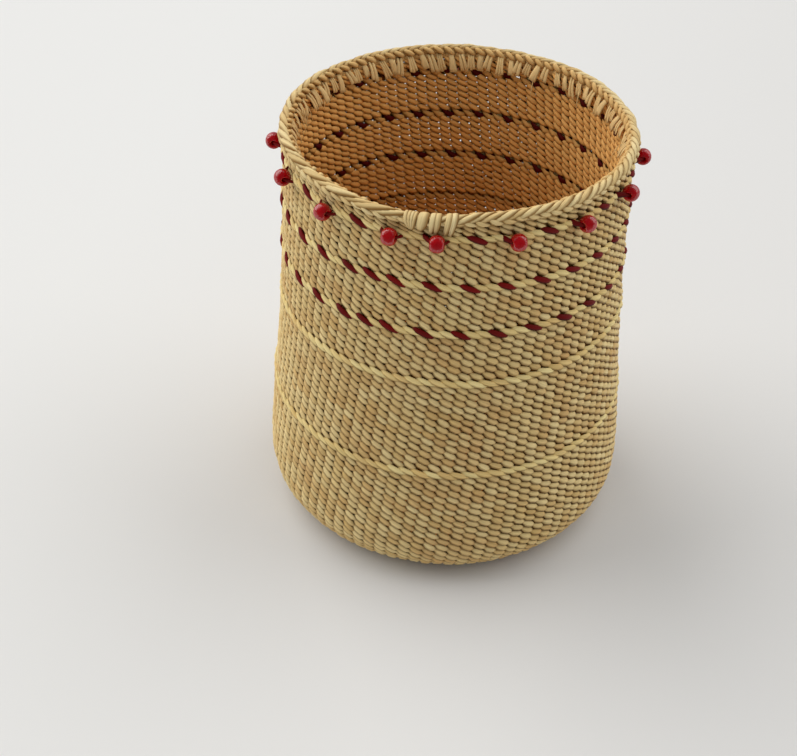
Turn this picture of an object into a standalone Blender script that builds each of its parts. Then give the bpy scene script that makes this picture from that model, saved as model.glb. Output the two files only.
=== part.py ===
"""Small twined basket with red rows, a braided rim and beads on its top red row.

Metres, +Z up. The origin is the middle of the flat base, on the surface that the
basket stands on. The weave joins, and the wraps on the rim, face -Y.
Each turned piece is one course or field of the weave, from the start at the middle
of the base up to the rim. A small gap parts each piece from the next. The basket is
a little oval: every turned piece is stretched front to back by the same share.
"""

import math

import bmesh
import bpy
from mathutils import Vector

MM = 0.001

# The wall, as one turned sheet of warps and weft. The depth is half the mouth, front to back
WALL = 1.8 * MM
GAP = 0.3 * MM
MOUTH_RADIUS = 31.6 * MM
MOUTH_DEPTH = 32.95 * MM
TAPER = 1.9 * MM
BELLY = 1.95 * MM
BELLY_FALL = 25.0 * MM
HEEL_HEIGHT = 9.0 * MM
HEEL_REACH = 7.6 * MM
START_RADIUS = 9.0 * MM

# Three-strand rows, measured at the middle of each row
BEAD_ROW_HEIGHT = 73.9 * MM
RED_ROW_SPACING = 9.25 * MM
RAISED_ROW_DROP = 10.15 * MM
RAISED_ROW_SPACING = 19.6 * MM
ROW_HEIGHT = 1.5 * MM
ROW_PROUD = 0.2 * MM

# Courses of plain twining: the most that one is tall, and how deep the groove is between two
COURSE_HEIGHT = 1.4 * MM
COURSE_GROOVE = 0.35 * MM

# Neck, clipped warp ends and braided rim
NECK_HEIGHT = 1.2 * MM
ENDS_LENGTH = 2.4 * MM
ENDS_THICKNESS = 0.6 * MM
BRAID_RADIUS = 1.3 * MM
BRAID_OUTSET = 0.5 * MM

# Wraps round the braid, placed along the rim from the join
JOIN_ANGLE = math.radians(-101.3)
WRAP_THICKNESS = 0.4 * MM
WRAP_WIDTH = 1.8 * MM
LEFT_WRAP_OFFSET = 3.1 * MM
RIGHT_WRAP_OFFSET = 5.8 * MM
FOLD_OFFSET = -0.1 * MM
FOLD_WIDTH = 4.0 * MM
FOLD_THICKNESS = 0.5 * MM

# Beads, each on a loop of the red strand that crosses two warps. The two beside the join
# lie closer together than the rest
WARPS = 94
WARPS_PER_DASH = 3
DASHES_PER_BEAD = 2
JOIN_GAP = 7.6 * MM
BEAD_RADIUS = 1.35 * MM
BEAD_LENGTH = 2.1 * MM
BORE_RADIUS = 0.55 * MM
STRAND_RADIUS = 0.24 * MM
BEAD_CLEARANCE = 0.25 * MM
LOOP_HALF_LENGTH = 2.5 * MM

# Facets of the turned pieces
RING_STEPS = 40
WRAP_STEPS = 16
BEAD_STEPS = 12
BRAID_POINTS = 8
HEEL_POINTS = 5
LOOP_POINTS = 9

STRAW = (0.66, 0.55, 0.36)
STRAW_RAISED = (0.72, 0.62, 0.42)
STRAW_RIM = (0.78, 0.70, 0.50)
STRAW_INSIDE = (0.55, 0.40, 0.22)
RED_STRAND = (0.20, 0.02, 0.03)
RED_GLASS = (0.45, 0.01, 0.02)

WALL_FOOT = HEEL_HEIGHT
WALL_HEIGHT = BEAD_ROW_HEIGHT - WALL_FOOT
NECK_TOP = BEAD_ROW_HEIGHT + ROW_HEIGHT / 2 + GAP + NECK_HEIGHT
BRAID_CENTRE = NECK_TOP + GAP + BRAID_RADIUS
RIM_MIDDLE = MOUTH_RADIUS - WALL / 2 + BRAID_OUTSET
STRETCH = MOUTH_DEPTH / MOUTH_RADIUS


def clear_scene():
    for obj in list(bpy.data.objects):
        bpy.data.objects.remove(obj, do_unlink=True)


def new_collection(name):
    collection = bpy.data.collections.new(name)
    bpy.context.scene.collection.children.link(collection)
    return collection


def finish(name, colour, roughness):
    material = bpy.data.materials.new(name)
    material.use_nodes = True
    shader = material.node_tree.nodes["Principled BSDF"]
    shader.inputs["Base Color"].default_value = (*colour, 1.0)
    shader.inputs["Roughness"].default_value = roughness
    shader.inputs["Metallic"].default_value = 0.0
    return material


def outer_radius(z):
    """Outside of the wall at height z: an elliptic heel, then a belly and a taper."""
    above = z - WALL_FOOT
    taper = TAPER * (1 - max(above, 0.0) / WALL_HEIGHT)
    belly = BELLY * math.exp(-((max(above, 0.0) / BELLY_FALL) ** 2))
    radius = MOUTH_RADIUS + taper + belly
    if above < 0:
        rise = 1 - z / HEEL_HEIGHT
        radius -= HEEL_REACH * (1 - math.sqrt(1 - rise ** 2))
    return radius


def steps(start, end, count):
    return [start + (end - start) * i / count for i in range(count + 1)]


def turned_mesh(name, outline, closed):
    """The outline in the XZ plane, which a Screw modifier turns about Z."""
    mesh = bpy.data.meshes.new(name)
    points = [(x, 0.0, z) for x, z in outline]
    edges = [(i, i + 1) for i in range(len(points) - 1)]
    if closed:
        edges.append((len(points) - 1, 0))
    mesh.from_pydata(points, edges, [])
    return mesh


def add_turned(name, mesh, material, count):
    obj = bpy.data.objects.new(name, mesh)
    if material and not mesh.materials:
        mesh.materials.append(material)
    screw = obj.modifiers.new("Turn", "SCREW")
    screw.axis = "Z"
    screw.steps = count
    screw.render_steps = count
    screw.use_merge_vertices = True
    screw.merge_threshold = 0.01 * MM
    screw.use_smooth_shade = True
    return obj


def ring(name, outline, colour, roughness=0.7, closed=True):
    mesh = turned_mesh(name, outline, closed)
    obj = add_turned(name, mesh, finish(name + "_finish", colour, roughness), RING_STEPS)
    obj.scale = (1.0, STRETCH, 1.0)
    return obj


def round_the_wall(angle, radius, out=0.0):
    """A place on the oval wall, so far out from it, and the way that the wall faces there."""
    outward = Vector((STRETCH * math.cos(angle), math.sin(angle), 0.0)).normalized()
    place = Vector((radius * math.cos(angle), STRETCH * radius * math.sin(angle), 0.0))
    return place + outward * out, outward


def wall_field(name, low, high, inside_count, colour=STRAW):
    """A stretch of plain wall: each course is a ridge outside, with a groove on either side."""
    courses = max(round((high - low) / COURSE_HEIGHT), 1)
    outline = [
        (outer_radius(z) - (0.0 if i % 2 else COURSE_GROOVE), z)
        for i, z in enumerate(steps(high, low, 2 * courses))
    ]
    outline += [(outer_radius(z) - WALL, z) for z in steps(low, high, inside_count)]
    return ring(name, outline, colour)


def raised_row(name, middle, colour, proud=ROW_PROUD):
    """A three-strand row: as thick as the wall, with its outside crowned."""
    half = ROW_HEIGHT / 2
    radius = outer_radius(middle)
    outline = [
        (radius, middle + half),
        (radius + proud, middle + half / 2),
        (radius + proud, middle - half / 2),
        (radius, middle - half),
        (radius - WALL, middle - half),
        (radius - WALL, middle + half),
    ]
    return ring(name, outline, colour)


def build_base():
    """The round start, the flat twining round it, and the heel that turns up."""
    flat_radius = outer_radius(0.0)
    start = ring(
        "base_start",
        [(0.0, WALL), (START_RADIUS, WALL), (START_RADIUS, 0.0), (0.0, 0.0)],
        STRAW,
        closed=False,
    )
    inner = START_RADIUS + GAP
    outer = flat_radius - GAP
    disc = [(outer, WALL), (outer, 0.0), (inner, 0.0), (inner, WALL)]
    twining = ring("base_twining", disc, STRAW)

    turn = [math.pi / 2 * i / HEEL_POINTS for i in range(HEEL_POINTS + 1)]
    outside = [
        (flat_radius + HEEL_REACH * math.sin(a), HEEL_HEIGHT * (1 - math.cos(a)))
        for a in reversed(turn)
    ]
    inside = [
        (
            flat_radius + (HEEL_REACH - WALL) * math.sin(a),
            HEEL_HEIGHT - (HEEL_HEIGHT - WALL) * math.cos(a),
        )
        for a in turn
    ]
    heel = ring("heel_twining", outside + inside, STRAW)
    return [start, twining, heel]


def build_wall():
    """Plain fields of twining between the raised, the red and the beaded rows."""
    half = ROW_HEIGHT / 2 + GAP
    lower_red_height = BEAD_ROW_HEIGHT - 2 * RED_ROW_SPACING
    rows = {
        "lower_raised_row": lower_red_height - RAISED_ROW_DROP - RAISED_ROW_SPACING,
        "upper_raised_row": lower_red_height - RAISED_ROW_DROP,
        "lower_red_row": lower_red_height,
        "upper_red_row": lower_red_height + RED_ROW_SPACING,
    }
    fields = ["lower_wall", "middle_wall", "upper_wall", "lower_red_field", "upper_red_field"]
    inside_counts = [3, 3, 1, 1, 1]
    parts = []
    low = HEEL_HEIGHT + GAP
    for field, count, (name, middle) in zip(fields, inside_counts, rows.items()):
        colour = RED_STRAND if "red" in name else STRAW_RAISED
        parts.append(wall_field(field, low, middle - half, count))
        parts.append(raised_row(name, middle, colour))
        low = middle + half
    parts.append(wall_field(fields[-1], low, BEAD_ROW_HEIGHT - half, inside_counts[-1]))
    return parts


def bead_angles():
    """One bead on every second red dash, from one side of the join to the other."""
    count = WARPS // (WARPS_PER_DASH * DASHES_PER_BEAD) + 1
    gap = JOIN_GAP / MOUTH_RADIUS
    return steps(JOIN_ANGLE + gap / 2, JOIN_ANGLE + math.tau - gap / 2, count - 1)


def strand_loops(cutters):
    """The red strand where it stands off the wall: one arch through each bead."""
    rise = WALL / 2 + BEAD_CLEARANCE + BEAD_RADIUS
    curve = bpy.data.curves.new("strand_loops", "CURVE")
    curve.dimensions = "3D"
    curve.bevel_depth = STRAND_RADIUS
    curve.bevel_resolution = 1
    curve.use_fill_caps = True
    for angle in bead_angles():
        foot, out = round_the_wall(angle, outer_radius(BEAD_ROW_HEIGHT), -WALL / 2)
        along = Vector((-out.y, out.x, 0.0))
        spline = curve.splines.new("POLY")
        spline.points.add(LOOP_POINTS - 1)
        for point, u in zip(spline.points, steps(-1.0, 1.0, LOOP_POINTS - 1)):
            place = foot + out * (rise * (1 - u ** 6)) + along * (LOOP_HALF_LENGTH * u)
            point.co = (place.x, place.y, BEAD_ROW_HEIGHT, 1.0)
    source = bpy.data.objects.new("strand_loops_curve", curve)
    cutters.objects.link(source)
    graph = bpy.context.evaluated_depsgraph_get()
    mesh = bpy.data.meshes.new_from_object(source.evaluated_get(graph))
    bpy.data.objects.remove(source, do_unlink=True)
    welded = bmesh.new()
    welded.from_mesh(mesh)
    bmesh.ops.remove_doubles(welded, verts=welded.verts, dist=0.001 * MM)
    bmesh.ops.recalc_face_normals(welded, faces=welded.faces)
    welded.to_mesh(mesh)
    welded.free()
    return add_cutter("strand_loops", mesh, cutters)


def add_cutter(name, mesh, cutters):
    obj = bpy.data.objects.new(name, mesh)
    obj.hide_render = True
    obj.display_type = "WIRE"
    cutters.objects.link(obj)
    return obj


def boolean(obj, cutter, operation):
    modifier = obj.modifiers.new(operation.title(), "BOOLEAN")
    modifier.operation = operation
    modifier.object = cutter


def build_bead_row(cutters):
    row = raised_row("bead_row", BEAD_ROW_HEIGHT, RED_STRAND, proud=0.0)
    boolean(row, strand_loops(cutters), "UNION")
    return [row]


def build_beads():
    """Round glass beads, turned about their bores and laid along the rim."""
    half = BEAD_LENGTH / 2
    crown = [math.radians(a) for a in (60, 30, 0, -30, -60)]
    outline = [(BEAD_RADIUS * math.cos(a), half * math.sin(a) / math.sin(crown[0])) for a in crown]
    outline += [(BORE_RADIUS, -half), (BORE_RADIUS, half)]
    mesh = turned_mesh("bead", outline, closed=True)
    glass = finish("bead_glass", RED_GLASS, 0.12)
    parts = []
    for i, angle in enumerate(bead_angles()):
        bead = add_turned(f"bead_{i + 1:02d}", mesh, glass, BEAD_STEPS)
        radius = outer_radius(BEAD_ROW_HEIGHT)
        lay_along_rim(bead, angle, radius, BEAD_ROW_HEIGHT, BEAD_CLEARANCE + BEAD_RADIUS)
        parts.append(bead)
    return parts


def lay_along_rim(obj, angle, radius, z, out=0.0):
    """Puts a turned piece at an angle round the rim, with its axis along the rim."""
    place, outward = round_the_wall(angle, radius, out)
    obj.location = (place.x, place.y, z)
    obj.rotation_euler = (math.pi / 2, 0.0, math.atan2(outward.y, outward.x))


def wrap_outline(width, thickness, clearance=0.0):
    """Section of a flat strand that goes once round the braid."""
    inner = BRAID_RADIUS + GAP - clearance
    outer = BRAID_RADIUS + GAP + thickness + clearance
    half = width / 2 + clearance
    shoulder = half * 0.7
    return [(inner + (outer - inner) * 0.6, half), (outer, shoulder), (outer, -shoulder),
            (inner + (outer - inner) * 0.6, -half), (inner, -half), (inner, half)]


def build_rim(cutters):
    """Neck, clipped warp ends, braid, and the strands wrapped over the braid's join."""
    neck = wall_field("neck_twining", NECK_TOP - NECK_HEIGHT, NECK_TOP, 1)
    inside = outer_radius(NECK_TOP) - WALL - GAP
    ends = ring(
        "clipped_warp_ends",
        [
            (inside, NECK_TOP + GAP),
            (inside, NECK_TOP + GAP - ENDS_LENGTH),
            (inside - ENDS_THICKNESS, NECK_TOP + GAP - ENDS_LENGTH),
            (inside - ENDS_THICKNESS, NECK_TOP + GAP),
        ],
        STRAW_INSIDE,
    )
    braid = ring(
        "rim_braid",
        [
            (
                RIM_MIDDLE + BRAID_RADIUS * math.sin(a),
                BRAID_CENTRE + BRAID_RADIUS * math.cos(a),
            )
            for a in (math.tau * i / BRAID_POINTS for i in range(BRAID_POINTS))
        ],
        STRAW_RIM,
    )
    parts = [neck, ends, braid]
    wraps = {
        "braid_end_fold": (FOLD_OFFSET, FOLD_WIDTH, FOLD_THICKNESS),
        "rim_wrap_left": (LEFT_WRAP_OFFSET, WRAP_WIDTH, WRAP_THICKNESS),
        "rim_wrap_right": (RIGHT_WRAP_OFFSET, WRAP_WIDTH, WRAP_THICKNESS),
    }
    for name, (offset, width, thickness) in wraps.items():
        angle = JOIN_ANGLE + offset / RIM_MIDDLE
        mesh = turned_mesh(name, wrap_outline(width, thickness), closed=True)
        wrap = add_turned(name, mesh, finish(name + "_finish", STRAW_RIM, 0.6), WRAP_STEPS)
        lay_along_rim(wrap, angle, RIM_MIDDLE, BRAID_CENTRE)
        parts.append(wrap)

        groove = turned_mesh(name + "_groove", wrap_outline(width, thickness, GAP), closed=True)
        cutter = add_turned(name + "_groove", groove, None, WRAP_STEPS)
        cutter.hide_render = True
        cutter.display_type = "WIRE"
        lay_along_rim(cutter, angle, RIM_MIDDLE, BRAID_CENTRE)
        cutters.objects.link(cutter)
        boolean(neck, cutter, "DIFFERENCE")
        boolean(ends, cutter, "DIFFERENCE")
    return parts


def main():
    clear_scene()
    basket = new_collection("twined_basket")
    cutters = new_collection("cutters")
    root = bpy.data.objects.new("basket", None)
    basket.objects.link(root)
    parts = build_base() + build_wall() + build_bead_row(cutters)
    parts += build_rim(cutters) + build_beads()
    for part in parts:
        basket.objects.link(part)
        part.parent = root


main()
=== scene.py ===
"""Small twined basket of split straw, with red rows, glass beads and a braided rim.

Metres, +Z up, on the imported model's own frame. The join of the rows faces -Y.
The weave is laid out flat, one stroke of a strand at a time, and then carried
round the basket: X along the rim, -Y outwards, Z up the wall from mid-base.
"""
import math

import bmesh
import bpy
from mathutils import Matrix, Vector


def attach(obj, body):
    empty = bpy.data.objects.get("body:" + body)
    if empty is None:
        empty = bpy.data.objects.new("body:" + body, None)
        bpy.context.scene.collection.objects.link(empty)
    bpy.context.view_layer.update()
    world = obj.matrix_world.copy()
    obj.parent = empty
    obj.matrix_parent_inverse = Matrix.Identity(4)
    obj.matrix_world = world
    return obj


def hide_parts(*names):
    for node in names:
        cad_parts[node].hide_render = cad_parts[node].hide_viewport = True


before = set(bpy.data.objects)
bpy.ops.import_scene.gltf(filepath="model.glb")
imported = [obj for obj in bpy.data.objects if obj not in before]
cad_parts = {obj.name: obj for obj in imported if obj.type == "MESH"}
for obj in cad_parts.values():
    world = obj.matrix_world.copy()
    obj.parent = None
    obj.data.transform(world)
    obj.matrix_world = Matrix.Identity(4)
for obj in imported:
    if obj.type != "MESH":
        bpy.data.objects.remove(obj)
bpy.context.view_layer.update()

# The warps: 94 round rods of shoot that stand in the wall, held and hidden by the
# weft twined round them. The basket was pressed a little oval, deeper than it is wide.

MM = 0.001
WARPS = 94
MOUTH_RADIUS = 31.6 * MM
MOUTH_DEPTH = 32.95 * MM
STRETCH = MOUTH_DEPTH / MOUTH_RADIUS
WALL = 1.8 * MM
HEEL_HEIGHT = 9.0 * MM
HEEL_REACH = 7.6 * MM
TAPER = 1.9 * MM
BELLY = 1.95 * MM
BELLY_FALL = 25 * MM
BEAD_ROW_HEIGHT = 73.9 * MM
PITCH = math.tau * MOUTH_RADIUS / WARPS
JOIN_ANGLE = math.radians(-101.3)
LEAN = math.radians(0.215) / MM
DIP = 1.1 * MM
DIP_ANGLE = JOIN_ANGLE - math.radians(3.5)
DIP_SHARPNESS = 14
DIP_RISE = 3.8 * MM


def outer_radius(height):
    """Outside of the wall: an elliptic heel, then a belly and a taper."""
    above = max(height - HEEL_HEIGHT, 0.0)
    radius = MOUTH_RADIUS + TAPER * (1 - above / (BEAD_ROW_HEIGHT - HEEL_HEIGHT))
    radius += BELLY * math.exp(-((above / BELLY_FALL) ** 2))
    if height < HEEL_HEIGHT:
        radius -= HEEL_REACH * (1 - math.sqrt(1 - (1 - height / HEEL_HEIGHT) ** 2))
    return radius


BASE_STEPS = 24
WALL_STEPS = 80
WALL_LENGTH = 75 * MM


def middle_of_wall():
    """The line up the middle of the wall, from the middle of the base to the rim."""
    flat = outer_radius(0.0)
    line = [(flat * i / BASE_STEPS, WALL / 2) for i in range(BASE_STEPS)]
    for i in range(BASE_STEPS):
        turn = math.pi / 2 * i / BASE_STEPS
        reach = flat + (HEEL_REACH - WALL / 2) * math.sin(turn)
        line.append((reach, HEEL_HEIGHT - (HEEL_HEIGHT - WALL / 2) * math.cos(turn)))
    for i in range(WALL_STEPS + 1):
        height = HEEL_HEIGHT + WALL_LENGTH * i / WALL_STEPS
        line.append((outer_radius(height) - WALL / 2, height))
    return line


PROFILE = middle_of_wall()


def up_the_wall(height):
    """Length along the profile at which the wall reaches a height."""
    length = 0.0
    for (r0, z0), (r1, z1) in zip(PROFILE, PROFILE[1:]):
        step = math.hypot(r1 - r0, z1 - z0)
        if z1 >= height and z1 > z0:
            return length + step * (height - z0) / (z1 - z0)
        length += step
    return length


HEEL_START = outer_radius(0.0)
BEAD_ROW = up_the_wall(BEAD_ROW_HEIGHT)
profile_curve = bpy.data.curves.new("profile", "CURVE")
profile_curve.dimensions = "3D"
profile_line = profile_curve.splines.new("POLY")
profile_line.points.add(len(PROFILE) - 1)
for point, (reach, height) in zip(profile_line.points, PROFILE):
    point.co = (reach, 0.0, height, 1.0)


class Thread:
    """A socket of a node tree. Sums written on it add the Math nodes."""

    def __init__(self, loom, socket):
        self.loom = loom
        self.socket = socket

    def out(self, name):
        return Thread(self.loom, self.socket.node.outputs[name])

    def calc(self, operation, *others):
        values = dict(enumerate((self, *others)))
        return self.loom.node("ShaderNodeMath", {"operation": operation}, values)

    def __add__(self, other):
        return self.calc("ADD", other)

    def __sub__(self, other):
        return self.calc("SUBTRACT", other)

    def __rsub__(self, other):
        return self.calc("MULTIPLY", -1.0) + other

    def __mul__(self, other):
        return self.calc("MULTIPLY", other)

    def __truediv__(self, other):
        return self.calc("DIVIDE", other)

    def __mod__(self, other):
        return self.calc("FLOORED_MODULO", other)

    def __pow__(self, other):
        return self.calc("POWER", other)

    def within(self, low, high):
        return self.calc("MAXIMUM", low).calc("MINIMUM", high)

    __radd__ = __add__
    __rmul__ = __mul__


class Loom:
    """A node tree being wired."""

    def __init__(self, tree):
        self.tree = tree

    def node(self, kind, settings=(), sockets=(), output=0):
        made = self.tree.nodes.new(kind)
        for name, value in dict(settings).items():
            setattr(made, name, value)
        for name, value in dict(sockets).items():
            if isinstance(value, Thread):
                self.tree.links.new(value.socket, made.inputs[name])
            else:
                made.inputs[name].default_value = value
        return Thread(self, made.outputs[output]) if made.outputs else made

    def vector(self, operation, first, second=None, scale=None):
        sockets = {0: first}
        if second is not None:
            sockets[1] = second
        if scale is not None:
            sockets["Scale"] = scale
        return self.node("ShaderNodeVectorMath", {"operation": operation}, sockets)

    def mix(self, share, first, second, blend="MIX"):
        settings = {"data_type": "RGBA", "blend_type": blend}
        return self.node("ShaderNodeMix", settings, {0: share, 6: first, 7: second}, 2)


LAYING_INPUTS = {
    "Stroke": ("NodeSocketObject", None),
    "Finish": ("NodeSocketMaterial", None),
    "Rows": ("NodeSocketInt", 1),
    "Per row": ("NodeSocketInt", WARPS),
    "First along": ("NodeSocketFloat", 0.0),
    "Step along": ("NodeSocketFloat", PITCH),
    "Row shift": ("NodeSocketFloat", 0.0),
    "First height": ("NodeSocketFloat", 0.0),
    "Row spacing": ("NodeSocketFloat", 0.0),
    "Alternate": ("NodeSocketInt", 0),
    "Parity": ("NodeSocketInt", 0),
    "Slant spread": ("NodeSocketFloat", 0.0),
    "Splay spread": ("NodeSocketFloat", 0.0),
    "Size spread": ("NodeSocketFloat", 0.0),
    "Drift": ("NodeSocketFloat", 0.0),
    "Run": ("NodeSocketInt", 1),
    "Waver": ("NodeSocketFloat", 0.12 * MM),
    "Seed": ("NodeSocketInt", 1),
}


INNER_BLEND = 0.4 * MM
WAVERS = ((55.0, 2.2), (240.0, 0.8))


def build_laying_tree():
    """Lays copies of one stroke in rows, then carries them round the basket."""
    tree = bpy.data.node_groups.new("laid_strokes", "GeometryNodeTree")
    tree.interface.new_socket("Profile", in_out="INPUT", socket_type="NodeSocketGeometry")
    for name, (kind, default) in LAYING_INPUTS.items():
        socket = tree.interface.new_socket(name, in_out="INPUT", socket_type=kind)
        if default is not None:
            socket.default_value = default
    tree.interface.new_socket("Mesh", in_out="OUTPUT", socket_type="NodeSocketGeometry")
    loom = Loom(tree)
    given = loom.node("NodeGroupInput").out

    def chance(salt, low=-1.0, high=1.0, number=None):
        sockets = {2: low, 3: high, "Seed": given("Seed") * 16 + salt}
        if number is not None:
            sockets["ID"] = number
        return loom.node("FunctionNodeRandomValue", {}, sockets, 1)

    def join(x, y, z):
        return loom.node("ShaderNodeCombineXYZ", {}, {"X": x, "Y": y, "Z": z})

    index = loom.node("GeometryNodeInputIndex")
    row = (index / given("Per row") + 0.0001).calc("FLOOR")
    place = index - row * given("Per row")
    along = given("First along") + place * given("Step along") + row * given("Row shift")
    height = given("First height") + row * given("Row spacing")
    along = along + chance(1) * given("Drift")
    height = height + chance(2) * given("Drift")
    points = loom.node("GeometryNodePoints", {}, {
        "Count": given("Rows") * given("Per row"), "Position": join(along, 0.0, height),
    })
    turned = (place + row + given("Parity")) % 2 * given("Alternate")
    angles = join(
        chance(3) * given("Splay spread"),
        chance(4) * given("Slant spread"),
        turned * math.pi,
    )
    size = chance(5) * given("Size spread") + 1
    stroke = loom.node("GeometryNodeObjectInfo", {}, {"Object": given("Stroke")}).out("Geometry")
    laid = loom.node("GeometryNodeInstanceOnPoints", {}, {
        "Points": points,
        "Instance": stroke,
        "Rotation": loom.node("FunctionNodeEulerToRotation", {}, {0: angles}),
        "Scale": join(1.0, size, size),
    })
    run = (index / given("Run") + 0.0001).calc("FLOOR")
    attributes = {"tone": chance(6, 0.0, 1.0), "hue": chance(7, 0.0, 1.0, run)}
    for name, value in attributes.items():
        laid = loom.node("GeometryNodeStoreNamedAttribute", {"domain": "INSTANCE"}, {
            "Geometry": laid, "Name": name, "Value": value,
        })
    real = loom.node("GeometryNodeRealizeInstances", {}, {"Geometry": laid})

    flat = loom.node("ShaderNodeSeparateXYZ", {}, {0: loom.node("GeometryNodeInputPosition")})
    # The inner share is 1 on the side of a stroke facing into the basket; the finishes paint their
    # bounce light and shade tint by it.
    inner = (flat.out("Y") / INNER_BLEND + 0.5).within(0, 1)
    real = loom.node("GeometryNodeStoreNamedAttribute", {}, {
        "Geometry": real, "Name": "inner", "Value": inner,
    })
    wall = loom.node("GeometryNodeSampleCurve", {"mode": "LENGTH", "use_all_curves": True}, {
        "Curves": given("Profile"), "Length": flat.out("Z"),
    }, "Position")
    middle = loom.node("ShaderNodeSeparateXYZ", {}, {0: wall})
    upward = loom.node("ShaderNodeSeparateXYZ", {}, {0: wall.out("Tangent")})
    turn = flat.out("X") * (math.tau / (WARPS * PITCH)) + JOIN_ANGLE
    turn = turn + (flat.out("Z") - BEAD_ROW) * LEAN
    reach = middle.out("X") - flat.out("Y") * upward.out("Z")
    rise = middle.out("Z") + flat.out("Y") * upward.out("X")
    nearness = ((turn - DIP_ANGLE).calc("COSINE") * DIP_SHARPNESS - DIP_SHARPNESS).calc("EXPONENT")
    rise = rise - nearness * DIP * ((flat.out("Z") - BEAD_ROW) / DIP_RISE).within(0, 1)
    carried = join(reach * turn.calc("COSINE"), reach * turn.calc("SINE") * STRETCH, rise)
    calm = (flat.out("Z") / (2 * HEEL_START)).within(0, 1)
    for scale, share in WAVERS:
        noise = loom.node("ShaderNodeTexNoise", {}, {
            "Vector": carried, "Scale": scale, "Detail": 1.0,
        }, 1)
        push = loom.vector("SUBTRACT", noise, (0.5, 0.5, 0.5))
        push = loom.vector("SCALE", push, scale=given("Waver") * calm * share * 2)
        carried = loom.vector("ADD", carried, push)
    round_basket = loom.node("GeometryNodeSetPosition", {}, {"Geometry": real, "Position": carried})
    finished = loom.node("GeometryNodeSetMaterial", {}, {
        "Geometry": round_basket, "Material": given("Finish"),
    })
    loom.node("NodeGroupOutput", {}, {0: finished})
    return tree


laying_tree = build_laying_tree()


def lay(name, slot, nodes, stroke, finish, body="weave", **inputs):
    """Lays strokes by the tree, turns the result into one mesh, and hangs it on a body."""
    host = bpy.data.objects.new(name + "_host", profile_curve)
    bpy.context.scene.collection.objects.link(host)
    laying = host.modifiers.new("Laying", "NODES")
    laying.node_group = laying_tree
    values = {"Stroke": stroke, "Finish": finish}
    values.update({key.replace("_", " ").capitalize(): value for key, value in inputs.items()})
    for socket in laying_tree.interface.items_tree:
        if socket.name in values:
            laying[socket.identifier] = values.pop(socket.name)
    if values:
        raise KeyError(str(values))
    graph = bpy.context.evaluated_depsgraph_get()
    mesh = bpy.data.meshes.new_from_object(host.evaluated_get(graph))
    mesh.name = name
    host.modifiers.clear()
    bpy.data.objects.remove(host, do_unlink=True)
    return settle(name, mesh, nodes, body)


def settle(name, mesh, nodes, body="weave"):
    piece = bpy.data.objects.new(name, mesh)
    bpy.context.scene.collection.objects.link(piece)
    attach(piece, body)
    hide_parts(*nodes)
    return piece


def swept(name, centres, widths, depths, facing=(0, -1, 0), sides=8):
    """A strand: an oval section carried along a line of centres, with closed ends."""
    last = len(centres) - 1
    centres = [Vector(c) for c in centres]
    facings = facing if isinstance(facing, list) else [facing] * (last + 1)
    corners, faces, lays = [], [], []
    for i, centre in enumerate(centres):
        ahead = centres[min(i + 1, last)] - centres[max(i - 1, 0)]
        across = ahead.cross(Vector(facings[i])).normalized()
        out = across.cross(ahead).normalized()
        for j in range(sides):
            turn = math.tau * j / sides
            side = across * (widths[i] * math.cos(turn))
            corners.append(centre + side + out * (depths[i] * math.sin(turn)))
    for i in range(last):
        for j in range(sides):
            k = (j + 1) % sides
            faces.append((i * sides + j, (i + 1) * sides + j, (i + 1) * sides + k, i * sides + k))
            near, far = j / sides, (j + 1) / sides
            low, high = i / last, (i + 1) / last
            lays += [(low, near), (high, near), (high, far), (low, far)]
    faces.append(tuple(range(sides)))
    faces.append(tuple(last * sides + j for j in reversed(range(sides))))
    lays += [(0.0, j / sides) for j in range(sides)]
    lays += [(1.0, j / sides) for j in reversed(range(sides))]
    mesh = bpy.data.meshes.new(name)
    mesh.from_pydata(corners, [], faces)
    mesh.uv_layers.new(name="Lay").data.foreach_set("uv", [x for pair in lays for x in pair])
    mesh.shade_smooth()
    return bpy.data.objects.new(name, mesh)


def dye(red, green, blue):
    """A colour as the eye reads it, 0 to 255, made linear."""
    parts = [c / 255 for c in (red, green, blue)]
    return (*[c / 12.92 if c < 0.04045 else ((c + 0.055) / 1.055) ** 2.4 for c in parts], 1.0)


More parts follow.
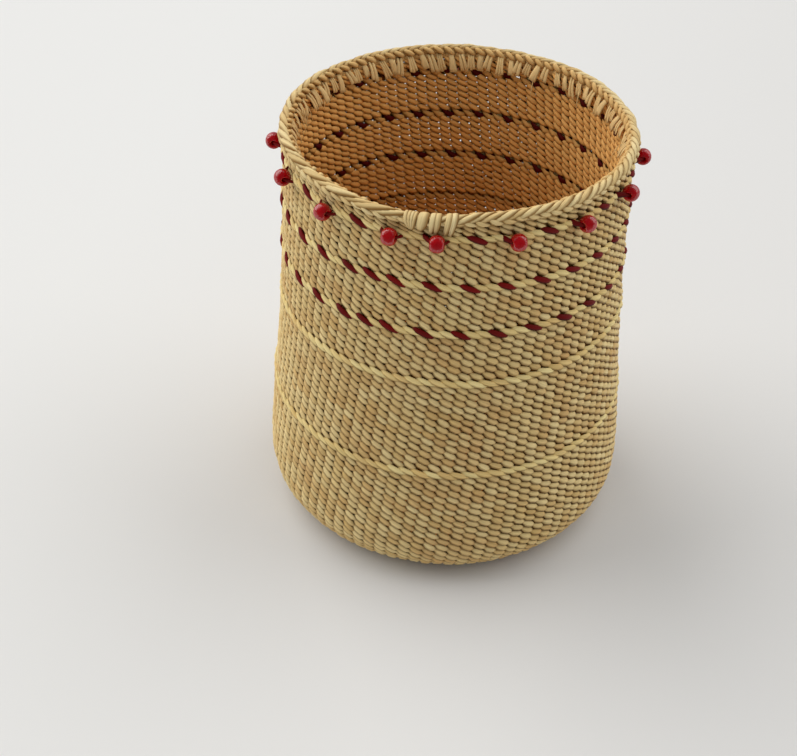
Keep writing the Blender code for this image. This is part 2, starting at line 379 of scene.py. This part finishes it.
def straw_finish(name, pale, deep, stain_and_end_shade, painted_shade, inside, roughness=0.55, gloss=0.12):
    """Split straw: a fibre grain along the strand, each strand a little off its neighbour."""
    material = bpy.data.materials.new(name)
    material.use_nodes = True
    shader = material.node_tree.nodes["Principled BSDF"]
    loom = Loom(material.node_tree)
    tone, hue, inner = [
        loom.node("ShaderNodeAttribute", {"attribute_name": attribute}, {}, "Fac")
        for attribute in ("tone", "hue", "inner")
    ]
    lay_map = loom.node("ShaderNodeUVMap", {"uv_map": "Lay"})
    lay_xy = loom.node("ShaderNodeSeparateXYZ", {}, {0: lay_map})
    along, around = lay_xy.out("X"), lay_xy.out("Y")
    place = loom.node("ShaderNodeTexCoord").out("Object")
    grain_place = loom.node("ShaderNodeCombineXYZ", {}, {
        "X": along * 1.6 + tone * 31, "Y": around * 18, "Z": hue * 17 + tone * 9,
    })
    grain = loom.node("ShaderNodeTexNoise", {}, {
        "Vector": grain_place, "Scale": 1.0, "Detail": 3.0, "Roughness": 0.6,
    })
    drift = loom.node("ShaderNodeTexNoise", {}, {"Vector": place, "Scale": 90.0, "Detail": 2.0})
    colour = loom.mix(tone * 0.55 + hue * 0.25 + 0.1, pale, deep)
    # The stain colour comes in at random as real staining, and also more towards the far end of
    # each stroke as painted shade, where it dives behind a warp.
    colour = loom.mix((drift - 0.5) * 1.2 + (tone - 0.5) * 0.5 + along * 0.4 - 0.1, colour, stain_and_end_shade)
    # Painted bounce light and shade: the side of a strand that faces into the basket is mixed
    # towards the warmer, more orange inside colour.
    colour = loom.mix(inner * 0.85, colour, inside)
    # Painted shade: the lower edge of each stroke and both its ends, where it dives behind a warp,
    # are mixed towards the shade colour, a little less on the inside.
    low_edge = ((around * math.tau).calc("COSINE") * 1.2).within(0, 1)
    far_end = (along * 2 - 1).within(0, 1) ** 3.0
    near_end = (1 - along * 2).within(0, 1) ** 4.0
    painted_shade_share = (low_edge * 0.9 + far_end * 0.75 + near_end * 0.4).within(0, 1) * (1 - inner * 0.25)
    colour = loom.mix(painted_shade_share, colour, painted_shade)
    shade = (grain - 0.5) * 0.8 + 1.0
    grey = loom.node("ShaderNodeCombineXYZ", {}, {"X": shade, "Y": shade, "Z": shade})
    colour = loom.mix(1.0, colour, grey, "MULTIPLY")
    bump = loom.node("ShaderNodeBump", {}, {"Strength": 0.4, "Distance": 0.00012, "Height": grain})
    material.node_tree.links.new(colour.socket, shader.inputs["Base Color"])
    material.node_tree.links.new(bump.socket, shader.inputs["Normal"])
    rough = (grain - 0.5) * 0.25 + roughness
    material.node_tree.links.new(rough.socket, shader.inputs["Roughness"])
    shader.inputs["Specular IOR Level"].default_value = gloss
    return material


# The warps' darker brown is partly their own colour and partly painted shade: they show only in the
# gaps between stitches, where it stands in for the shade there.
warp_and_gap_shade_finish = straw_finish(
    "warp_shoot_and_gap_shade", dye(150, 102, 34), dye(118, 74, 18), dye(108, 66, 16), dye(60, 34, 6),
    dye(150, 92, 36), 0.7,
)


def rod(name, low, high, half_width, steps):
    heights = [low + (high - low) * i / steps for i in range(steps + 1)]
    centres = [(0, 0, h) for h in heights]
    return swept(name, centres, [half_width] * (steps + 1), [0.34 * MM] * (steps + 1), sides=6)


RIM_TOP = up_the_wall(78.2 * MM)
lay(
    "upright_warps", "straw",
    ["heel_twining", "lower_wall", "middle_wall", "upper_wall", "lower_red_field",
     "upper_red_field", "neck_twining"],
    rod("warp", 19 * MM, RIM_TOP, 0.52 * MM, 60), warp_and_gap_shade_finish, per_row=WARPS,
)

# The base: the first warps are plaited across each other in the middle, and plain
# two-strand twining runs round and round them out to the heel. More warps are let in
# on the way: 23 reach the middle, then 47, then all of them.

START_WARPS = 23
INNER_WARPS = 47
lay(
    "base_warps", "straw", ["base_twining"],
    rod("base_warp", 8.5 * MM, 20 * MM, 0.9 * MM, 8), warp_and_gap_shade_finish,
    per_row=INNER_WARPS, step_along=PITCH * WARPS / INNER_WARPS, waver=0.0,
)
lay(
    "start_warps", "straw", ["base_start"],
    rod("start_warp", 2.4 * MM, 9.5 * MM, 1.6 * MM, 6), warp_and_gap_shade_finish,
    per_row=START_WARPS, step_along=PITCH * WARPS / START_WARPS, waver=0.0,
)


straw = straw_finish(
    "split_straw", dye(240, 216, 158), dye(214, 178, 110), dye(208, 162, 106), dye(92, 52, 6),
    dye(250, 188, 106),
)


def gathered(name, strands):
    """Several strands made one mesh."""
    bundle = bmesh.new()
    for strand in strands:
        bundle.from_mesh(strand.data)
        bpy.data.objects.remove(strand)
    mesh = bpy.data.meshes.new(name)
    bundle.to_mesh(mesh)
    bundle.free()
    return mesh


PLAIT_PITCH = 1.1 * MM
plait = []
for number in range(-2, 3):
    for crosswise in (False, True):
        line = []
        for step in range(-6, 7):
            run = step * PLAIT_PITCH / 2
            lift = 0.24 * MM * math.cos(math.pi * (run / PLAIT_PITCH + number + crosswise))
            side = number * PLAIT_PITCH
            line.append((side, run, WALL / 2 + lift) if crosswise else (run, side, WALL / 2 + lift))
        count = len(line)
        widths = [0.47 * MM] * count
        depths = [0.2 * MM] * count
        plait.append(swept("plaited_strip", line, widths, depths, facing=(0, 0, -1)))
plait_mesh = gathered("plaited_start", plait)
plait_mesh.materials.append(straw)
settle("plaited_start", plait_mesh, ["base_start"])


STITCH_END = 0.64
STITCH_PLACES = (-STITCH_END, -0.5, -0.24, 0.2, 0.47, STITCH_END)
STITCH_ROUNDNESS = 2.1
END_WIDTH = 0.17 * MM
END_DEPTH = 0.2 * MM


def half_stitch(name, width, reach, climb, tall, deep):
    """Half a turn of a weft strand: a slanted grain over one warp, falling to the right."""
    bow = [1 - abs(u / STITCH_END) ** STITCH_ROUNDNESS for u in STITCH_PLACES]
    centres = [
        (u * width, -reach * b ** 0.7, -climb * u / 0.5) for u, b in zip(STITCH_PLACES, bow)
    ]
    widths = [END_WIDTH + (tall - END_WIDTH) * b for b in bow]
    depths = [END_DEPTH + (deep - END_DEPTH) * b for b in bow]
    return swept(name, centres, widths, depths)


def twine(name, nodes, first, rows, spacing, warps=WARPS, seed=1, waver=0.12 * MM):
    """A field of plain twining: two strands, each over one warp and behind the next."""
    width = PITCH * WARPS / warps
    tall = 0.49 * spacing
    stitch = half_stitch(name + "_stitch", width, 0.62 * MM, 0.58 * MM, tall, 0.32 * MM)
    for strand in range(2):
        lay(
            f"{name}_strand_{strand + 1}", "straw", nodes, stitch, straw,
            rows=rows, per_row=warps, step_along=width, first_height=first,
            row_spacing=spacing, alternate=1, parity=strand, run=23, slant_spread=0.08,
            size_spread=0.09, drift=0.04 * MM, seed=seed + strand, waver=waver,
        )
    bpy.data.objects.remove(stitch)


twine(
    "start_twining", ["base_start"], 3.2 * MM, 5, 1.25 * MM, START_WARPS, seed=3, waver=0.0,
)
twine(
    "inner_base_twining", ["base_twining"], 9.45 * MM, 8, 1.39 * MM, INNER_WARPS, seed=5,
    waver=0.0,
)

# The heel, the wall and the neck: plain two-strand twining between the raised and the
# red rows. Thirteen rows lie between the two raised ones and six between the others, and
# two close the wall under the rim.

RED_ROW_2 = up_the_wall(64.65 * MM)
RED_ROW_1 = up_the_wall(55.4 * MM)
RAISED_ROW_2 = up_the_wall(45.25 * MM)
RAISED_ROW_1 = up_the_wall(25.65 * MM)


def field(name, below, above, rows, seed):
    """Plain twining that fills the wall between two finished rows."""
    step = (above - below) / (rows + 1)
    twine(name, [name], below + step, rows, step, seed=seed)


field("upper_red_field", RED_ROW_2, BEAD_ROW, 6, 29)
field("lower_red_field", RED_ROW_1, RED_ROW_2, 6, 23)
field("upper_wall", RAISED_ROW_2, RED_ROW_1, 6, 19)
field("middle_wall", RAISED_ROW_1, RAISED_ROW_2, 13, 17)
HEEL_STEP = 1.4 * MM
HEEL_ROWS = 12
LOWER_WALL_ROWS = 11
HEEL_FIRST = RAISED_ROW_1 - (HEEL_ROWS + LOWER_WALL_ROWS) * HEEL_STEP
LOWER_WALL_FIRST = RAISED_ROW_1 - LOWER_WALL_ROWS * HEEL_STEP
OUTER_BASE_FIRST = 20.5 * MM
OUTER_BASE_ROWS = 3
outer_step = (HEEL_FIRST - OUTER_BASE_FIRST) / OUTER_BASE_ROWS
twine("lower_wall", ["lower_wall"], LOWER_WALL_FIRST, LOWER_WALL_ROWS, HEEL_STEP, seed=13)
twine("heel_twining", ["heel_twining"], HEEL_FIRST, HEEL_ROWS, HEEL_STEP, seed=11)
twine(
    "outer_base_twining", ["base_twining"], OUTER_BASE_FIRST, OUTER_BASE_ROWS, outer_step, seed=7,
    waver=0.0,
)
twine("neck_twining", ["neck_twining"], BEAD_ROW + 1.07 * MM, 2, 0.95 * MM, seed=31)

# The raised rows: three strands of the same straw, each over two warps and behind one,
# so that they lie on the wall as a cord. Their straw is painted a little paler than the
# wall, as painted light on the raised cord.


def long_turn(name, reach, climb, tall, deep, fall=0.6):
    """One whole turn of a strand of three: over two warps, then behind one."""
    centres, widths, depths = [], [], []
    for v in (0.0, 0.2, 0.55, 1.0, 1.45, 1.8, 2.0):
        bow = math.sin(math.pi * v / 2)
        centres.append(((v - 1) * PITCH, -reach * bow ** fall, climb * (1 - v)))
        widths.append(0.2 * MM + (tall - 0.2 * MM) * bow ** fall)
        depths.append(0.2 * MM + (deep - 0.2 * MM) * bow)
    for w in (0.18, 0.5, 0.82, 1.0):
        bow = max(math.sin(math.pi * w), 0.0)
        place = 1.55 + 1.3 * (w - 0.5)
        centres.append((place * PITCH, 0.74 * MM * bow, climb * (1.7 * w - 0.85) - 0.3 * MM * bow))
        widths.append(0.26 * MM + 0.4 * MM * bow)
        depths.append(0.2 * MM + 0.1 * MM * bow)
    return swept(name, centres, widths, depths)


# Paler than the wall straw: painted light on the raised cord.
raised_straw = straw_finish(
    "raised_straw", dye(248, 228, 164), dye(228, 194, 122), dye(218, 174, 114), dye(104, 64, 12),
    dye(236, 178, 100),
)
raised_turn = long_turn("raised_turn", 0.86 * MM, 0.66 * MM, 0.6 * MM, 0.36 * MM, 0.5)
STRANDS = 3
TURNS = 31
for node, height, seed in (
    ("lower_raised_row", RAISED_ROW_1, 41), ("upper_raised_row", RAISED_ROW_2, 43),
):
    lay(
        node + "_strands", "raised_straw", [node], raised_turn, raised_straw,
        rows=STRANDS, per_row=TURNS, step_along=WARPS / TURNS * PITCH,
        row_shift=WARPS / (STRANDS * TURNS) * PITCH,
        first_height=height, run=9, slant_spread=0.03, size_spread=0.08, seed=seed,
    )

# The red rows: the same three-strand row with one strand dyed dark red, which shows as
# a dash over two warps, one dash to every three warps. At the join the dashes lie closer.

red_strand = straw_finish(
    "red_dyed_straw", dye(126, 10, 6), dye(96, 6, 4), dye(104, 8, 4), dye(42, 4, 2),
    dye(84, 8, 6), 0.6, 0.12,
)
red_turn = long_turn("red_turn", 1.0 * MM, 0.8 * MM, 0.56 * MM, 0.38 * MM, 0.3)
for node, height, seed in (
    ("lower_red_row", RED_ROW_1, 47), ("upper_red_row", RED_ROW_2, 53),
):
    for part, rows, first, step, count in (
        ("", 2, 3.0, 3.0, 29), ("_at_join", 1, -4.0, 2.05, 3), ("_after_join", 1, 1.1, 1.0, 1),
    ):
        lay(
            node + "_straw_strands" + part, "straw", [node], raised_turn, raised_straw,
            rows=rows, per_row=count, first_along=first * PITCH, step_along=step * PITCH,
            row_shift=PITCH, first_height=height, run=9, slant_spread=0.03, size_spread=0.08,
            seed=seed,
        )
    for part, first, step, count in (("", 2.0, 3.0, 30), ("_at_join", -2.95, 2.1, 2)):
        lay(
            node + "_red_strand" + part, "red_strand", [node], red_turn, red_strand,
            per_row=count, first_along=first * PITCH, step_along=step * PITCH,
            first_height=height, run=3, slant_spread=0.03, size_spread=0.06, seed=seed + 1,
        )

# The bead row: the topmost red row, under the neck. Its red strand comes out through a
# bead at every second turn, and shows as a plain dash at the turns between.

BEADS = 16
JOIN_GAP = 7.6 * MM
BEAD_STEP = (WARPS * PITCH - JOIN_GAP) / (BEADS - 1)
FIRST_BEAD = 3.8 * MM
lay(
    "bead_row_straw_strands", "straw", ["bead_row"], raised_turn, raised_straw,
    rows=2, per_row=TURNS, first_along=FIRST_BEAD + PITCH, step_along=BEAD_STEP / 2,
    row_shift=PITCH, first_height=BEAD_ROW, run=9, slant_spread=0.03, size_spread=0.08, seed=59,
)
lay(
    "bead_row_red_dashes", "red_strand", ["bead_row"], red_turn, red_strand,
    per_row=BEADS - 1, first_along=FIRST_BEAD + BEAD_STEP / 2, step_along=BEAD_STEP,
    first_height=BEAD_ROW, run=3, slant_spread=0.03, size_spread=0.06, seed=61,
)


def bead_loop():
    """The red strand where it leaves the wall, runs through a bead and goes back in."""
    line = [
        (-1.3, 0.2, 0.3, 0.3), (-1.1, 0.85, 0.24, 0.52), (-0.85, 1.3, 0.16, 0.54),
        (-0.6, 1.95, 0.08, 0.4), (-0.4, 2.45, 0.0, 0.26), (0.0, 2.5, 0.0, 0.26),
        (0.35, 2.5, 0.0, 0.26), (0.55, 2.1, -0.1, 0.28), (0.75, 1.3, -0.25, 0.3),
        (0.95, 0.5, -0.35, 0.3), (1.25, -0.45, -0.3, 0.4), (1.5, -0.62, 0.0, 0.6),
        (1.75, -0.45, 0.3, 0.4), (2.0, 0, 0.4, 0.2),
    ]
    centres = [(x * PITCH, -reach * MM, rise * MM) for x, reach, rise, width in line]
    widths = [width * MM for x, reach, rise, width in line]
    return swept("bead_loop", centres, widths, [0.25 * MM] * len(line))


lay(
    "bead_row_loops", "red_strand", ["bead_row"], bead_loop(), red_strand,
    per_row=BEADS, first_along=FIRST_BEAD, step_along=BEAD_STEP, first_height=BEAD_ROW, seed=67,
    waver=0.0,
)

# The beads: sixteen round beads of deep red glass, each strung on a loop of the red
# strand, so that it turns. They were wound round a wire, which left the bore.

BEAD_OUTSET = 1.6 * MM
BEAD_RADIUS = 1.5 * MM
BEAD_LENGTH = 2.5 * MM
BEAD_BORE = 0.42 * MM
BEAD_SIDES = 24


def glass_finish():
    material = bpy.data.materials.new("red_bead_glass")
    material.use_nodes = True
    shader = material.node_tree.nodes["Principled BSDF"]
    loom = Loom(material.node_tree)
    place = loom.node("ShaderNodeTexCoord").out("Object")
    swirl = loom.node("ShaderNodeTexNoise", {}, {"Vector": place, "Scale": 900.0, "Detail": 2.0})
    colour = loom.mix(swirl, dye(138, 0, 10), dye(192, 2, 14))
    material.node_tree.links.new(colour.socket, shader.inputs["Base Color"])
    rough = swirl * 0.1 + 0.12
    material.node_tree.links.new(rough.socket, shader.inputs["Roughness"])
    shader.inputs["Transmission Weight"].default_value = 0.08
    shader.inputs["Specular IOR Level"].default_value = 0.1
    return material


bead_glass = glass_finish()


def bead(name, angle):
    """A bead turned about its bore, which lies along the rim."""
    outline = []
    for i in range(13):
        turn = math.pi * (0.04 + 0.92 * i / 12)
        reach = BEAD_BORE + (BEAD_RADIUS - BEAD_BORE) * math.sin(turn) ** 0.75
        outline.append((reach, -BEAD_LENGTH / 2 * math.cos(turn)))
    outline += [(0.4 * MM, BEAD_LENGTH * 0.4), (0.4 * MM, -BEAD_LENGTH * 0.4)]
    wall = outer_radius(BEAD_ROW_HEIGHT)
    out = Vector((STRETCH * math.cos(angle), math.sin(angle), 0)).normalized()
    up = Vector((0, 0, 1))
    along = up.cross(out)
    middle = Vector((wall * math.cos(angle), STRETCH * wall * math.sin(angle), BEAD_ROW_HEIGHT))
    middle += out * BEAD_OUTSET
    count = len(outline)
    corners = [
        middle + along * place + out * (reach * math.cos(math.tau * k / BEAD_SIDES))
        + up * (reach * math.sin(math.tau * k / BEAD_SIDES))
        for k in range(BEAD_SIDES) for reach, place in outline
    ]
    faces = []
    for k in range(BEAD_SIDES):
        here, there = k * count, (k + 1) % BEAD_SIDES * count
        for i in range(count):
            j = (i + 1) % count
            faces.append((here + i, there + i, there + j, here + j))
    mesh = bpy.data.meshes.new(name)
    mesh.from_pydata(corners, [], faces)
    mesh.shade_smooth()
    mesh.materials.append(bead_glass)
    return mesh


for number in range(BEADS):
    name = f"bead_{number + 1:02d}"
    angle = JOIN_ANGLE + (FIRST_BEAD + BEAD_STEP * number) / MOUTH_RADIUS
    settle(name + "_glass", bead(name, angle), [name], body=name)

# The clipped ends: the flat papery end of each warp, which came out of the plaiting on
# the inside and was trimmed off just under the braid. Some are split into thin fibres.

paper = straw_finish(
    "papery_ends", dye(246, 224, 172), dye(216, 174, 112), dye(196, 144, 84), dye(232, 202, 142),
    dye(232, 194, 132), 0.6,
)
BRAID_MIDDLE_HEIGHT = 77.75 * MM
BRAID = up_the_wall(BRAID_MIDDLE_HEIGHT)


def blade(side, foot, half_width, drop):
    """One flat fibre bundle from under the braid down to its cut end."""
    line = [(side, 0.35, -0.3), (side, 0.95, -0.95)]
    line += [(side + (foot - side) * t, 1.15 + 0.6 * t, -1.0 - drop * t) for t in (0.35, 0.7, 1.0)]
    centres = [tuple(value * MM for value in point) for point in line]
    widths = [half_width * share * MM for share in (0.7, 0.85, 1.0, 1.08, 1.16)]
    depths = [depth * MM for depth in (0.15, 0.15, 0.13, 0.11, 0.09)]
    return swept("blade", centres, widths, depths, sides=6)


end_kinds = (
    [(0.0, 0.15, 0.72, 2.0)],
    [(-0.42, -0.6, 0.27, 1.8), (0.0, 0.05, 0.28, 2.1), (0.42, 0.68, 0.27, 1.9)],
    [(-0.32, -0.35, 0.4, 2.1), (0.38, 0.55, 0.38, 1.8)],
)
for number, blades in enumerate(end_kinds):
    end_mesh = gathered("clipped_end", [blade(*sizes) for sizes in blades])
    end = bpy.data.objects.new("clipped_end", end_mesh)
    lay(
        f"clipped_warp_ends_{number + 1}", "warp_ends", ["clipped_warp_ends"], end, paper,
        per_row=(32, 31, 31)[number], first_along=number * PITCH, step_along=3 * PITCH,
        first_height=BRAID, slant_spread=0.34, splay_spread=0.12, size_spread=0.22,
        drift=0.25 * MM, seed=71 + number,
    )
fibre_line = [(0.0, 1.3, -1.4), (0.1, 1.9, -2.4), (0.3, 2.3, -3.4), (0.35, 2.5, -4.4)]
fibre = swept(
    "loose_fibre", [tuple(value * MM for value in point) for point in fibre_line],
    [0.12 * MM, 0.12 * MM, 0.1 * MM, 0.06 * MM], [0.06 * MM] * 4, sides=5,
)
LOOSE_FIBRES = 13
lay(
    "loose_fibres", "warp_ends", ["clipped_warp_ends"], fibre, paper, per_row=LOOSE_FIBRES,
    step_along=WARPS * PITCH / LOOSE_FIBRES, first_height=BRAID, slant_spread=0.6,
    drift=3.0 * MM, seed=77,
)
lay(
    "frayed_fibres", "warp_ends", ["clipped_warp_ends"], fibre, paper, per_row=12,
    first_along=146 * MM, step_along=0.9 * MM, first_height=BRAID, slant_spread=0.9,
    drift=0.5 * MM, seed=79,
)

# The rim: each warp end is bent over and braided down past its neighbours, which leaves a
# row of long strokes on the crown and short knobs below it, outside and inside.

rim_straw = straw_finish(
    "rim_straw", dye(242, 220, 166), dye(218, 186, 124), dye(214, 178, 120), dye(140, 98, 40),
    dye(226, 180, 112),
)
BRAID_OUTSET = 0.5 * MM


def braid_stroke(name, path, half_width, half_depth, reach):
    """A stroke over part of the braid's round section, drawn out along the rim."""
    centres, facings, widths, depths = [], [], [], []
    last = len(path) - 1
    for i, (turn, along) in enumerate(path):
        turn = math.radians(turn)
        bow = math.sin(math.pi * (0.08 + 0.84 * i / last))
        out = reach * (0.74 + 0.26 * bow)
        across = BRAID_OUTSET + out * math.cos(turn)
        centres.append((along * PITCH, -across, out * math.sin(turn)))
        facings.append((0, -math.cos(turn), math.sin(turn)))
        widths.append(half_width * (0.4 + 0.6 * bow))
        depths.append(half_depth * (0.55 + 0.45 * bow))
    return swept(name, centres, widths, depths, facings)


def rim_filler(across, height, half_tall, half_deep):
    """A stretch of the bent warp ends inside the braid, which the strokes cover."""
    ends = [(side * 1.2 * MM, across * MM, height * MM) for side in (-1, 1)]
    return swept("filler", ends, [half_tall * MM] * 2, [half_deep * MM] * 2)


core_mesh = gathered(
    "core", [rim_filler(-0.5, 0.0, 0.72, 0.72), rim_filler(-0.1, -1.0, 0.75, 0.5)],
)
braid_layers = {
    "rim_core": bpy.data.objects.new("core", core_mesh),
    "rim_outer_knobs": braid_stroke(
        "outer_knob", [(5, -0.62), (-12, -0.35), (-30, 0.0), (-48, 0.35), (-62, 0.62)],
        0.5 * MM, 0.34 * MM, 0.9 * MM,
    ),
    "rim_inner_knobs": braid_stroke(
        "inner_knob", [(118, 0.5), (140, 0.28), (166, 0.0), (192, -0.28), (214, -0.5)],
        0.56 * MM, 0.38 * MM, 0.92 * MM,
    ),
    "rim_crown": braid_stroke(
        "crown_stroke",
        [
            (-8, -1.25), (8, -0.95), (28, -0.6), (50, -0.2), (72, 0.15), (94, 0.5), (114, 0.8),
            (134, 1.05),
        ],
        0.53 * MM, 0.35 * MM, 0.84 * MM,
    ),
    "rim_crown_left": braid_stroke(
        "long_crown_stroke",
        [
            (4, -1.9), (18, -1.4), (36, -0.8), (56, -0.2), (76, 0.4), (96, 1.0), (112, 1.5),
            (126, 1.9),
        ],
        0.6 * MM, 0.37 * MM, 0.8 * MM,
    ),
}
crown_zones = {
    "rim_crown": {"per_row": 64},
    "rim_crown_left": {"per_row": 19, "first_along": -61.4 * MM, "step_along": 1.5 * PITCH},
}
for number, (name, stroke) in enumerate(braid_layers.items()):
    lay(
        name, "rim_straw", ["rim_braid"], stroke, rim_straw, first_height=BRAID,
        slant_spread=0.06, size_spread=0.1, drift=0.08 * MM, seed=83 + number,
        **crown_zones.get(name, {}),
    )

# The braid's end: a flat strand folded over the rim as a fan, a smooth lump beside it, and
# two flat strands wrapped round the braid, which go through the weave and lock it.


def band(foot, head, low_out, low_in, half_width, half_depth, reach):
    """A flat strand up the outside, over the braid and down the inside."""
    line = [(-1.15 * MM, low_out), (-1.45 * MM, low_out * 0.6)]
    line += [
        (-BRAID_OUTSET - reach * math.cos(math.radians(a)), reach * math.sin(math.radians(a)))
        for a in (-12, 20, 50, 80, 110, 140, 170, 190)
    ]
    line += [(1.2 * MM, low_in)]
    count = len(line)
    centres, facings, widths = [], [], []
    for i, (y, z) in enumerate(line):
        y0, z0 = line[max(i - 1, 0)]
        y1, z1 = line[min(i + 1, count - 1)]
        facings.append((0, -(z1 - z0), y1 - y0))
        climbed = min((z - low_out) / (reach - low_out), 1.0) if i < 6 else 1.0
        centres.append(((foot + (head - foot) * climbed) * MM, y, z))
        widths.append(half_width * MM * (0.62 + 0.38 * min(climbed * 2, 1.0)))
    return swept("band", centres, widths, [half_depth * MM] * count, facings)


def bind(name, node, stroke, seed, per_row=1, **laying):
    """Lays flat strands over the braid, side by side."""
    lay(
        name, "rim_straw", [node], stroke, rim_straw, first_height=BRAID, waver=0.0, seed=seed,
        per_row=per_row, **laying,
    )


BAND_REACH = 1.2 * MM
left_wrap = band(0.12, 0.0, -2.5 * MM, -2.2 * MM, 0.56, 0.18, BAND_REACH)
bind(
    "left_wrap_strands", "rim_wrap_left", left_wrap, 89, per_row=2, first_along=2.35 * MM,
    step_along=0.8 * MM,
)
right_wrap = band(-0.2, 0.0, -2.75 * MM, -2.2 * MM, 0.56, 0.18, BAND_REACH)
bind(
    "right_wrap_strands", "rim_wrap_right", right_wrap, 91, per_row=2, first_along=4.95 * MM,
    step_along=0.88 * MM,
)
for number, head in enumerate((-2.3, -1.7, -1.15, -0.62)):
    stroke = band(-1.05 + 0.12 * number, head, -1.9 * MM, -1.8 * MM, 0.36, 0.2, BAND_REACH)
    bind(f"braid_end_fan_{number + 1}", "braid_end_fold", stroke, 95 + number)
lump = band(0.0, 0.0, -1.6 * MM, -1.5 * MM, 1.0, 0.42, 1.05 * MM)
bind("braid_end_lump", "braid_end_fold", lump, 101, first_along=0.72 * MM)

# The stage: the camera has the photograph's viewing angle, the floor is a pale sheet with
# painted light on it, paler to the left and back, and two wide soft lamps and a pale world
# light the basket from all round.

camera_data = bpy.data.cameras.new("camera")
camera_data.lens = 63.49
camera_data.sensor_width = 36.0
camera_data.clip_start = 0.01
camera = bpy.data.objects.new("camera", camera_data)
camera.location = (-0.000172, -0.228103, 0.192876)
bpy.context.scene.collection.objects.link(camera)
bpy.context.scene.camera = camera
YAW, TILT, ROLL = math.radians(-2.366), math.radians(37.044), math.radians(-1.51)
ahead = Vector((math.sin(YAW) * math.cos(TILT), math.cos(YAW) * math.cos(TILT), -math.sin(TILT)))
level = Vector((math.cos(YAW), -math.sin(YAW), 0.0))
down = ahead.cross(level)
side = level * math.cos(ROLL) + down * math.sin(ROLL)
upright = level * math.sin(ROLL) - down * math.cos(ROLL)
axes = (side, upright, -ahead)
camera.rotation_mode = "QUATERNION"
camera.rotation_quaternion = Matrix([[axis[i] for axis in axes] for i in range(3)]).to_quaternion()

FLOOR_REACH = 3.0
FLOOR_DROP = 0.2 * MM
floor_corners = [(-1, -1), (1, -1), (1, 1), (-1, 1)]
floor_mesh = bpy.data.meshes.new("floor")
floor_mesh.from_pydata(
    [(x * FLOOR_REACH, y * FLOOR_REACH, -FLOOR_DROP) for x, y in floor_corners], [], [(0, 1, 2, 3)],
)
floor = bpy.data.objects.new("floor", floor_mesh)
bpy.context.scene.collection.objects.link(floor)
pale_sheet = bpy.data.materials.new("pale_sheet")
pale_sheet.use_nodes = True
floor_shader = pale_sheet.node_tree.nodes["Principled BSDF"]
floor_loom = Loom(pale_sheet.node_tree)
spot = floor_loom.node("ShaderNodeSeparateXYZ", {}, {
    0: floor_loom.node("ShaderNodeTexCoord").out("Object"),
})
# Painted light: the sheet is paler to the left and towards the back, as though lit more from there,
# and darker to the right.
light = (0.62 - spot.out("X") * 3.6 + spot.out("Y") * 0.6).within(0, 1)
sheet_painted_light_colour = floor_loom.mix(light, dye(219, 217, 215), dye(232, 231, 229))
pale_sheet.node_tree.links.new(sheet_painted_light_colour.socket, floor_shader.inputs["Base Color"])
floor_shader.inputs["Roughness"].default_value = 0.9
floor_mesh.materials.append(pale_sheet)

world = bpy.data.worlds.new("studio")
bpy.context.scene.world = world
world.use_nodes = True
world.node_tree.nodes["Background"].inputs["Color"].default_value = (0.93, 0.97, 1.0, 1.0)
world.node_tree.nodes["Background"].inputs["Strength"].default_value = 0.44


WINDOW_WHITE = (1.0, 0.98, 0.95)


def window(name, place, size, strength):
    """Soft daylight from one side, aimed at the foot of the basket."""
    light = bpy.data.lights.new(name, "SUN")
    light.angle = math.radians(size)
    light.energy = strength
    light.color = WINDOW_WHITE
    lamp = bpy.data.objects.new(name, light)
    lamp.location = place
    lamp.rotation_mode = "QUATERNION"
    lamp.rotation_quaternion = (-Vector(place)).to_track_quat("-Z", "Y")
    bpy.context.scene.collection.objects.link(lamp)


window("window_left", (-1.0, 0.5, 0.9), 70, 2.0)
window("window_right", (1.0, 0.5, 0.9), 70, 1.12)
bpy.context.scene.view_settings.view_transform = "Standard"
